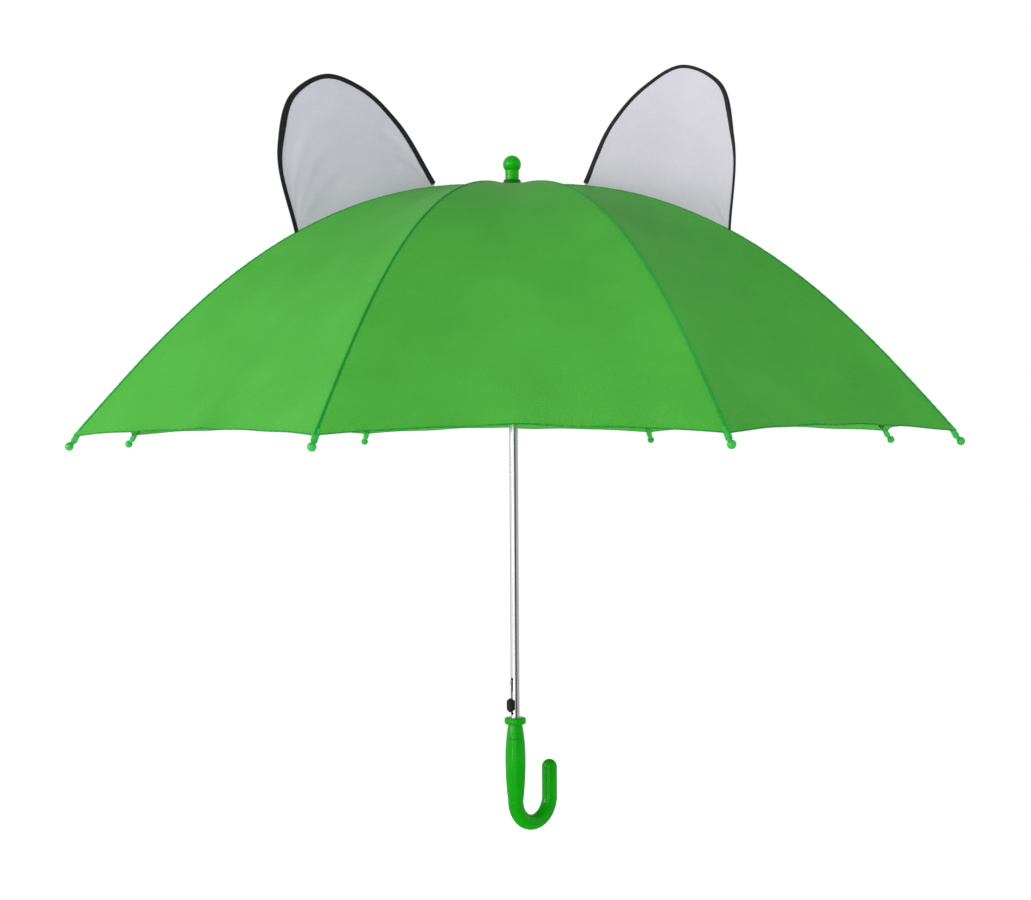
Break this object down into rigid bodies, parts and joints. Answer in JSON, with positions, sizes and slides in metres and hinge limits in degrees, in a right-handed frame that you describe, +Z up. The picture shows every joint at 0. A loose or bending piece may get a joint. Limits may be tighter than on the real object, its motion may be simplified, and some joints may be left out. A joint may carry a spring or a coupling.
{
  "type": "children's umbrella",
  "caption": "Open stick umbrella for a child, with a green cloth canopy on hinged steel ribs, two cloth ears, a ball finial, a push button and a green hook handle.",
  "frame": {"origin": "middle of the grip, on the shaft's axis", "axes": "+Z up the shaft towards the canopy; -Y is the front, towards the middle of a panel; the ears stand towards -X and +X"},
  "size_m": [0.7736, 0.7736, 0.6965],
  "materials": {
    "chrome_tube": "bright chromed tube",
    "steel": "zinc-plated strip and wire",
    "green_plastic": "glossy moulded green",
    "dark_green_plastic": "glossy moulded dark green",
    "black_plastic": "moulded black",
    "green_cloth": "plain-woven polyester canopy cloth",
    "grey_cloth": "light grey woven polyester",
    "black_edging": "black binding tape"
  },
  "bodies": {
    "shaft": {"shaft_tube": "chrome_tube", "hook_handle": "green_plastic", "handle_collar": "green_plastic", "top_notch": "black_plastic", "notch_wire": "steel", "crown_cap": "dark_green_plastic", "finial": "green_plastic", "hub_stop": "steel"},
    "arm_1": {"rib_1": "steel", "rib_tip_1": "green_plastic", "canopy_1": "green_cloth"},
    "arm_2": {"rib_2": "steel", "rib_tip_2": "green_plastic", "canopy_2": "green_cloth", "ear_right": "grey_cloth", "ear_edging_right": "black_edging"},
    "arm_3": {"rib_3": "steel", "rib_tip_3": "green_plastic", "canopy_3": "green_cloth"},
    "arm_4": {"rib_4": "steel", "rib_tip_4": "green_plastic", "canopy_4": "green_cloth"},
    "arm_5": {"rib_5": "steel", "rib_tip_5": "green_plastic", "canopy_5": "green_cloth", "closure_strap": "green_cloth"},
    "arm_6": {"rib_6": "steel", "rib_tip_6": "green_plastic", "canopy_6": "green_cloth"},
    "arm_7": {"rib_7": "steel", "rib_tip_7": "green_plastic", "canopy_7": "green_cloth", "ear_left": "grey_cloth", "ear_edging_left": "black_edging"},
    "arm_8": {"rib_8": "steel", "rib_tip_8": "green_plastic", "canopy_8": "green_cloth"},
    "stay_1": {"stretcher_1": "steel"},
    "stay_2": {"stretcher_2": "steel"},
    "stay_3": {"stretcher_3": "steel"},
    "stay_4": {"stretcher_4": "steel"},
    "stay_5": {"stretcher_5": "steel"},
    "stay_6": {"stretcher_6": "steel"},
    "stay_7": {"stretcher_7": "steel"},
    "stay_8": {"stretcher_8": "steel"},
    "brace_1": {"strut_1": "steel"},
    "brace_2": {"strut_2": "steel"},
    "brace_3": {"strut_3": "steel"},
    "brace_4": {"strut_4": "steel"},
    "brace_5": {"strut_5": "steel"},
    "brace_6": {"strut_6": "steel"},
    "brace_7": {"strut_7": "steel"},
    "brace_8": {"strut_8": "steel"},
    "hub": {"stretcher_hub": "black_plastic", "hub_wire": "steel", "opening_spring": "steel"},
    "slider": {"runner": "black_plastic", "runner_wire": "steel"},
    "button": {"push_button": "black_plastic", "catch_leaf": "steel"}
  },
  "joints": [
    {"name": "fold", "type": "hinge", "parent": "shaft", "child": "arm_1", "pos_m": [0.00279, -0.00642, 0.52702], "axis": [0.9171, 0.3987, 0], "range_deg": [0, 57.11], "stiffness_Nm_per_rad": 2, "springref_deg": -57.3, "deforming": ["canopy_1"]},
    {"name": "fold_2", "type": "hinge", "parent": "shaft", "child": "arm_2", "pos_m": [0.00651, -0.00257, 0.52702], "axis": [0.3665, 0.9304, 0], "range_deg": [0, 57.11], "deforming": ["canopy_2"]},
    {"name": "fold_3", "type": "hinge", "parent": "shaft", "child": "arm_3", "pos_m": [0.00642, 0.00279, 0.52702], "axis": [-0.3987, 0.9171, 0], "range_deg": [0, 57.11], "deforming": ["canopy_3"]},
    {"name": "fold_4", "type": "hinge", "parent": "shaft", "child": "arm_4", "pos_m": [0.00257, 0.00651, 0.52702], "axis": [-0.9304, 0.3665, 0], "range_deg": [0, 57.11], "deforming": ["canopy_4"]},
    {"name": "fold_5", "type": "hinge", "parent": "shaft", "child": "arm_5", "pos_m": [-0.00279, 0.00642, 0.52702], "axis": [-0.9171, -0.3987, 0], "range_deg": [0, 57.11], "deforming": ["canopy_5", "closure_strap"]},
    {"name": "fold_6", "type": "hinge", "parent": "shaft", "child": "arm_6", "pos_m": [-0.00651, 0.00257, 0.52702], "axis": [-0.3665, -0.9304, 0], "range_deg": [0, 57.11], "deforming": ["canopy_6"]},
    {"name": "fold_7", "type": "hinge", "parent": "shaft", "child": "arm_7", "pos_m": [-0.00642, -0.00279, 0.52702], "axis": [0.3987, -0.9171, 0], "range_deg": [0, 57.11], "deforming": ["canopy_7"]},
    {"name": "fold_8", "type": "hinge", "parent": "shaft", "child": "arm_8", "pos_m": [-0.00257, -0.00651, 0.52702], "axis": [0.9304, -0.3665, 0], "range_deg": [0, 57.11], "deforming": ["canopy_8"]},
    {"name": "stay_1", "type": "hinge", "parent": "arm_1", "child": "stay_1", "pos_m": [0.0827, -0.1902, 0.4793], "axis": [0.9171, 0.3987, 0], "range_deg": [-114.21, 0]},
    {"name": "stay_2", "type": "hinge", "parent": "arm_2", "child": "stay_2", "pos_m": [0.19297, -0.07601, 0.4793], "axis": [0.3665, 0.9304, 0], "range_deg": [-114.21, 0]},
    {"name": "stay_3", "type": "hinge", "parent": "arm_3", "child": "stay_3", "pos_m": [0.1902, 0.0827, 0.4793], "axis": [-0.3987, 0.9171, 0], "range_deg": [-114.21, 0]},
    {"name": "stay_4", "type": "hinge", "parent": "arm_4", "child": "stay_4", "pos_m": [0.07601, 0.19297, 0.4793], "axis": [-0.9304, 0.3665, 0], "range_deg": [-114.21, 0]},
    {"name": "stay_5", "type": "hinge", "parent": "arm_5", "child": "stay_5", "pos_m": [-0.0827, 0.1902, 0.4793], "axis": [-0.9171, -0.3987, 0], "range_deg": [-114.21, 0]},
    {"name": "stay_6", "type": "hinge", "parent": "arm_6", "child": "stay_6", "pos_m": [-0.19297, 0.07601, 0.4793], "axis": [-0.3665, -0.9304, 0], "range_deg": [-114.21, 0]},
    {"name": "stay_7", "type": "hinge", "parent": "arm_7", "child": "stay_7", "pos_m": [-0.1902, -0.0827, 0.4793], "axis": [0.3987, -0.9171, 0], "range_deg": [-114.21, 0]},
    {"name": "stay_8", "type": "hinge", "parent": "arm_8", "child": "stay_8", "pos_m": [-0.07601, -0.19297, 0.4793], "axis": [0.9304, -0.3665, 0], "range_deg": [-114.21, 0]},
    {"name": "hub_level", "type": "hinge", "parent": "stay_1", "child": "hub", "pos_m": [0.00279, -0.00642, 0.43158], "axis": [0.9171, 0.3987, 0], "range_deg": [0, 57.11]},
    {"name": "brace_1", "type": "hinge", "parent": "stay_1", "child": "brace_1", "pos_m": [0.01831, -0.0421, 0.44085], "axis": [0.9171, 0.3987, 0], "range_deg": [0, 35.08]},
    {"name": "brace_2", "type": "hinge", "parent": "stay_2", "child": "brace_2", "pos_m": [0.04272, -0.01683, 0.44085], "axis": [0.3665, 0.9304, 0], "range_deg": [0, 35.08]},
    {"name": "brace_3", "type": "hinge", "parent": "stay_3", "child": "brace_3", "pos_m": [0.0421, 0.01831, 0.44085], "axis": [-0.3987, 0.9171, 0], "range_deg": [0, 35.08]},
    {"name": "brace_4", "type": "hinge", "parent": "stay_4", "child": "brace_4", "pos_m": [0.01683, 0.04272, 0.44085], "axis": [-0.9304, 0.3665, 0], "range_deg": [0, 35.08]},
    {"name": "brace_5", "type": "hinge", "parent": "stay_5", "child": "brace_5", "pos_m": [-0.01831, 0.0421, 0.44085], "axis": [-0.9171, -0.3987, 0], "range_deg": [0, 35.08]},
    {"name": "brace_6", "type": "hinge", "parent": "stay_6", "child": "brace_6", "pos_m": [-0.04272, 0.01683, 0.44085], "axis": [-0.3665, -0.9304, 0], "range_deg": [0, 35.08]},
    {"name": "brace_7", "type": "hinge", "parent": "stay_7", "child": "brace_7", "pos_m": [-0.0421, -0.01831, 0.44085], "axis": [0.3987, -0.9171, 0], "range_deg": [0, 35.08]},
    {"name": "brace_8", "type": "hinge", "parent": "stay_8", "child": "brace_8", "pos_m": [-0.01683, -0.04272, 0.44085], "axis": [0.9304, -0.3665, 0], "range_deg": [0, 35.08]},
    {"name": "runner_slide", "type": "slide", "parent": "hub", "child": "slider", "axis": [0, 0, 1], "range_m": [0, 0.01827], "deforming": ["opening_spring"]},
    {"name": "button_press", "type": "slide", "parent": "shaft", "child": "button", "axis": [0.7071, 0.7071, 0], "range_m": [0, 0.0014], "stiffness_N_per_m": 800, "springref_m": -0.001}
  ],
  "couplings": [
    {"joint": "fold_2", "follows": "fold", "ratio": 1},
    {"joint": "fold_3", "follows": "fold", "ratio": 1},
    {"joint": "fold_4", "follows": "fold", "ratio": 1},
    {"joint": "fold_5", "follows": "fold", "ratio": 1},
    {"joint": "fold_6", "follows": "fold", "ratio": 1},
    {"joint": "fold_7", "follows": "fold", "ratio": 1},
    {"joint": "fold_8", "follows": "fold", "ratio": 1},
    {"joint": "stay_1", "follows": "fold", "ratio": -2},
    {"joint": "stay_2", "follows": "fold", "ratio": -2},
    {"joint": "stay_3", "follows": "fold", "ratio": -2},
    {"joint": "stay_4", "follows": "fold", "ratio": -2},
    {"joint": "stay_5", "follows": "fold", "ratio": -2},
    {"joint": "stay_6", "follows": "fold", "ratio": -2},
    {"joint": "stay_7", "follows": "fold", "ratio": -2},
    {"joint": "stay_8", "follows": "fold", "ratio": -2},
    {"joint": "hub_level", "follows": "fold", "ratio": 1},
    {"joint": "brace_1", "follows": "fold", "ratio": 0.61428},
    {"joint": "brace_2", "follows": "fold", "ratio": 0.61428},
    {"joint": "brace_3", "follows": "fold", "ratio": 0.61428},
    {"joint": "brace_4", "follows": "fold", "ratio": 0.61428},
    {"joint": "brace_5", "follows": "fold", "ratio": 0.61428},
    {"joint": "brace_6", "follows": "fold", "ratio": 0.61428},
    {"joint": "brace_7", "follows": "fold", "ratio": 0.61428},
    {"joint": "brace_8", "follows": "fold", "ratio": 0.61428},
    {"joint": "runner_slide", "follows": "fold", "m_per_rad": 0.018329}
  ]
}
